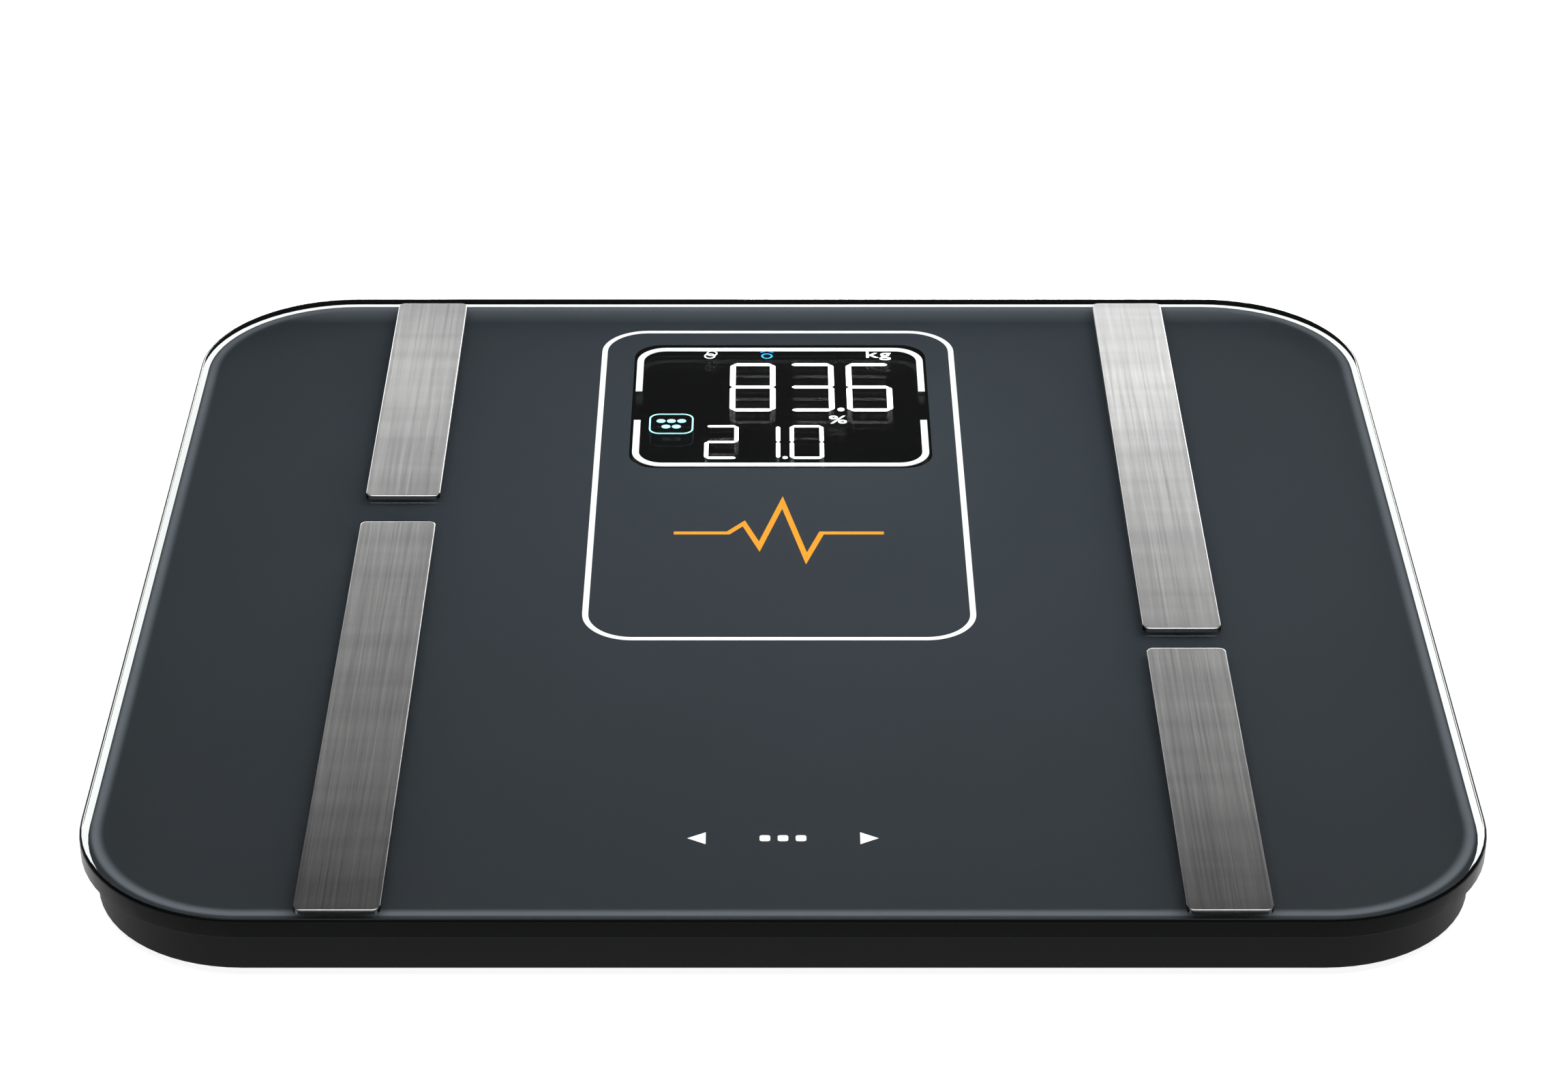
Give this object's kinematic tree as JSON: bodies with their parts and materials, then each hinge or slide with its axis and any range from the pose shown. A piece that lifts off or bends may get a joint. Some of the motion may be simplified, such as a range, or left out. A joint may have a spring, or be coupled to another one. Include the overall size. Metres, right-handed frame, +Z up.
{
  "type": "digital bathroom scale",
  "caption": "Flat square bathroom scale with a tempered glass platform, brushed steel electrode strips, a black display window and sprung weighing feet.",
  "frame": {"origin": "on the floor, under the middle of the glass platform", "axes": "+X across the scale to its right, +Y from the touch keys towards the display, +Z up"},
  "size_m": [0.32, 0.306, 0.0192],
  "materials": {
    "brushed_stainless": "brushed lengthwise",
    "button_plastic": "moulded",
    "cell_steel": "polished can",
    "chip_plastic": "moulded epoxy",
    "circuit_board": "green solder mask",
    "clear_acrylic": "clear moulding",
    "connector_rubber": "striped conductive rubber",
    "contact_foam": "conductive foam",
    "contact_steel": "nickel plated leaf",
    "display_glass": "dark polarised display",
    "fixing_steel": "zinc plated",
    "foam_tape": "black foam tape",
    "foot_plastic": "moulded",
    "foot_rubber": "matt, grooved",
    "gauge_film": "coated film",
    "grey_ink": "slate grey screen print behind glass",
    "holder_plastic": "moulded",
    "lead_jacket": "three-core lead jacket",
    "led_resin": "phosphor resin",
    "orange_ink": "orange screen print",
    "reflector_film": "white film",
    "ribbon_plastic": "flat cable",
    "silicone": "translucent grey",
    "spring_steel": "stamped, nickel plated",
    "switch_body": "tact switch",
    "tempered_glass": "clear, polished",
    "thin_lead": "single-core lead jacket",
    "tinned_brass": "tinned",
    "tray_plastic": "fine satin moulding",
    "white_ink": "white screen print"
  },
  "bodies": {
    "scale_body": {"adhesive_tape": "foam_tape", "back_print": "grey_ink", "backlight_leds": "led_resin", "backlight_reflector": "reflector_film", "base_tray": "tray_plastic", "battery_cells": "cell_steel", "battery_contacts": "contact_steel", "battery_holder": "holder_plastic", "board_components": "chip_plastic", "board_screws": "fixing_steel", "cell_holders": "holder_plastic", "cell_lead_left_front": "lead_jacket", "cell_lead_left_rear": "lead_jacket", "cell_lead_right_front": "lead_jacket", "cell_lead_right_rear": "lead_jacket", "display_connector": "connector_rubber", "display_frame": "holder_plastic", "display_gasket": "foam_tape", "display_panel": "display_glass", "electrode_lead_left_front": "thin_lead", "electrode_lead_left_rear": "thin_lead", "electrode_lead_right_front": "thin_lead", "electrode_lead_right_rear": "thin_lead", "electrode_left_front": "brushed_stainless", "electrode_left_rear": "brushed_stainless", "electrode_lugs": "tinned_brass", "electrode_nuts": "fixing_steel", "electrode_right_front": "brushed_stainless", "electrode_right_rear": "brushed_stainless", "electrode_studs": "fixing_steel", "foot_cushion_left_front": "silicone", "foot_cushion_left_rear": "silicone", "foot_cushion_right_front": "silicone", "foot_cushion_right_rear": "silicone", "glass_platform": "tempered_glass", "light_guide": "clear_acrylic", "load_cell_left_front": "spring_steel", "load_cell_left_rear": "spring_steel", "load_cell_right_front": "spring_steel", "load_cell_right_rear": "spring_steel", "main_board": "circuit_board", "orange_print": "orange_ink", "power_board": "circuit_board", "strain_gauges": "gauge_film", "supply_lead": "lead_jacket", "touch_board": "circuit_board", "touch_pads": "contact_foam", "touch_ribbon": "ribbon_plastic", "unit_switch": "switch_body", "white_print": "white_ink"},
    "foot_left_rear": {"foot_pad_left_rear": "foot_rubber", "foot_plate_left_rear": "foot_plastic"},
    "foot_left_front": {"foot_pad_left_front": "foot_rubber", "foot_plate_left_front": "foot_plastic"},
    "foot_right_rear": {"foot_pad_right_rear": "foot_rubber", "foot_plate_right_rear": "foot_plastic"},
    "foot_right_front": {"foot_pad_right_front": "foot_rubber", "foot_plate_right_front": "foot_plastic"},
    "battery_door": {"battery_cover": "tray_plastic"},
    "unit_key": {"unit_button": "button_plastic"}
  },
  "joints": [
    {"name": "left_rear_foot_press", "type": "slide", "parent": "scale_body", "child": "foot_left_rear", "axis": [0, 0, 1], "range_m": [0, 0.0006], "stiffness_N_per_m": 1000, "deforming": ["foot_cushion_left_rear"]},
    {"name": "left_front_foot_press", "type": "slide", "parent": "scale_body", "child": "foot_left_front", "axis": [0, 0, 1], "range_m": [0, 0.0006], "stiffness_N_per_m": 1000, "deforming": ["foot_cushion_left_front"]},
    {"name": "right_rear_foot_press", "type": "slide", "parent": "scale_body", "child": "foot_right_rear", "axis": [0, 0, 1], "range_m": [0, 0.0006], "stiffness_N_per_m": 1000, "deforming": ["foot_cushion_right_rear"]},
    {"name": "right_front_foot_press", "type": "slide", "parent": "scale_body", "child": "foot_right_front", "axis": [0, 0, 1], "range_m": [0, 0.0006], "stiffness_N_per_m": 1000, "deforming": ["foot_cushion_right_front"]},
    {"name": "battery_door_hinge", "type": "hinge", "parent": "scale_body", "child": "battery_door", "pos_m": [0.016, -0.0068, 0.0036], "axis": [1, 0, 0], "range_deg": [0, 85]},
    {"name": "unit_key_press", "type": "slide", "parent": "scale_body", "child": "unit_key", "axis": [0, 0, 1], "range_m": [0, 0.0005], "stiffness_N_per_m": 1500, "springref_m": -0.0003}
  ]
}
